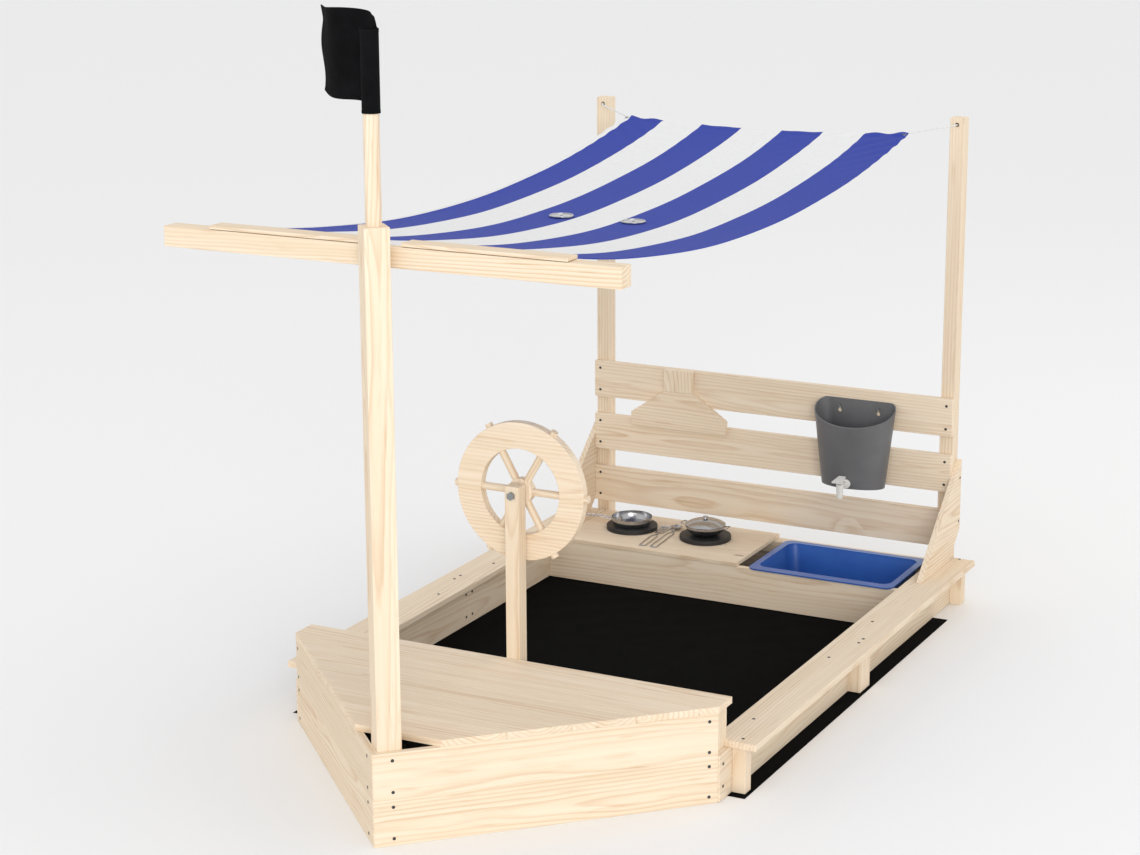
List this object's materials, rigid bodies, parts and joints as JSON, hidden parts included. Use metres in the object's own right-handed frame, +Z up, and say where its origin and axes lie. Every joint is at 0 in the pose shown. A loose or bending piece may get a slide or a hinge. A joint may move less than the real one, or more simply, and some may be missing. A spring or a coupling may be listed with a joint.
{
  "type": "sandbox with cover",
  "caption": "Ship-shaped wooden sandpit with a striped canopy, mast and flag, ship's wheel, bow bench with storage, side seats and a play kitchen with sink and water tank.",
  "frame": {"origin": "centre of the bounding box at the ground, without the tie cords", "axes": "+Z up, +Y from the bow to the stern kitchen, +X to the side with the sink"},
  "size_m": [1.254, 2.2198, 1.78],
  "materials": {
    "untreated_softwood": "matte",
    "striped_canvas": "matte",
    "black_cloth": "matte",
    "ground_fleece": "matte",
    "turned_aluminium": "brushed",
    "white_cord": "matte",
    "black_discs": "satin",
    "blue_plastic": "semi-gloss",
    "grey_plastic": "satin",
    "white_plastic": "semi-gloss",
    "zinc_steel": "satin",
    "dark_screws": "satin",
    "stainless_steel": "polished"
  },
  "bodies": {
    "hull": {"backrest_board_lower": "untreated_softwood", "backrest_board_middle": "untreated_softwood", "backrest_board_upper": "untreated_softwood", "board_screws": "dark_screws", "bow_board_lower_left": "untreated_softwood", "bow_board_lower_right": "untreated_softwood", "bow_board_upper_left": "untreated_softwood", "bow_board_upper_right": "untreated_softwood", "bow_corner_posts": "untreated_softwood", "braces": "untreated_softwood", "bulkhead_lower": "untreated_softwood", "bulkhead_upper": "untreated_softwood", "burner_discs": "black_discs", "canopy": "striped_canvas", "canopy_battens": "untreated_softwood", "canopy_drains": "turned_aluminium", "cord_knots": "white_cord", "countertop": "untreated_softwood", "flag_pole": "untreated_softwood", "ground_sheet": "ground_fleece", "hood_chimney": "untreated_softwood", "hood_panel": "untreated_softwood", "kitchen_rail": "untreated_softwood", "mast": "untreated_softwood", "rear_posts": "untreated_softwood", "rear_wall": "untreated_softwood", "sandpit_divider": "untreated_softwood", "seat_left": "untreated_softwood", "seat_legs": "untreated_softwood", "seat_right": "untreated_softwood", "side_wall_left": "untreated_softwood", "side_wall_right": "untreated_softwood", "tank_screws": "zinc_steel", "tie_cord_left": "white_cord", "tie_cord_right": "white_cord", "wheel_bolt": "zinc_steel", "wheel_nut": "zinc_steel", "wheel_post": "untreated_softwood", "yard": "untreated_softwood"},
    "ship_wheel": {"wheel_ring": "untreated_softwood", "wheel_hub": "untreated_softwood", "wheel_spokes": "untreated_softwood"},
    "bench_lid": {"bench_board_1": "untreated_softwood", "bench_board_2": "untreated_softwood", "bench_board_3": "untreated_softwood", "bench_board_4": "untreated_softwood", "bench_board_5": "untreated_softwood", "bench_battens": "untreated_softwood"},
    "tank": {"water_tank": "grey_plastic", "tap_body": "white_plastic", "tap_nut": "white_plastic"},
    "tap": {"tap_lever": "white_plastic"},
    "sink": {"sink_tub": "blue_plastic"},
    "frying_pan": {"pan": "stainless_steel"},
    "cooking_pot": {"pot": "stainless_steel"},
    "pot_cover": {"pot_lid": "stainless_steel"},
    "turner": {"spatula": "stainless_steel"},
    "ladle": {"spoon": "stainless_steel"},
    "pennant": {"flag": "black_cloth"}
  },
  "joints": [
    {"name": "wheel_turn", "type": "hinge", "parent": "hull", "child": "ship_wheel", "pos_m": [0, -0.419, 0.628], "axis": [0, 1, 0], "continuous": true},
    {"name": "bench_lift", "type": "slide", "parent": "hull", "child": "bench_lid", "axis": [0, 0, 1], "range_m": [0, 0.3]},
    {"name": "tank_lift", "type": "slide", "parent": "hull", "child": "tank", "axis": [0, 0, 1], "range_m": [0, 0.012]},
    {"name": "tap_lever_lift", "type": "hinge", "parent": "tank", "child": "tap", "pos_m": [0.278, 0.9111, 0.345], "axis": [-1, 0, 0], "range_deg": [0, 35]},
    {"name": "sink_lift", "type": "slide", "parent": "hull", "child": "sink", "axis": [0, 0, 1], "range_m": [0, 0.15]},
    {"name": "pan_lift", "type": "slide", "parent": "hull", "child": "frying_pan", "axis": [0, 0, 1], "range_m": [0, 0.15]},
    {"name": "pot_lift", "type": "slide", "parent": "hull", "child": "cooking_pot", "axis": [0, 0, 1], "range_m": [0, 0.15]},
    {"name": "lid_lift", "type": "slide", "parent": "cooking_pot", "child": "pot_cover", "axis": [0, 0, 1], "range_m": [0, 0.1]},
    {"name": "spatula_lift", "type": "slide", "parent": "hull", "child": "turner", "axis": [0, 0, 1], "range_m": [0, 0.1]},
    {"name": "spoon_lift", "type": "slide", "parent": "hull", "child": "ladle", "axis": [0, 0, 1], "range_m": [0, 0.1]},
    {"name": "flag_turn", "type": "hinge", "parent": "hull", "child": "pennant", "pos_m": [0, -1.0435, 1.6], "axis": [0, 0, 1], "continuous": true}
  ]
}
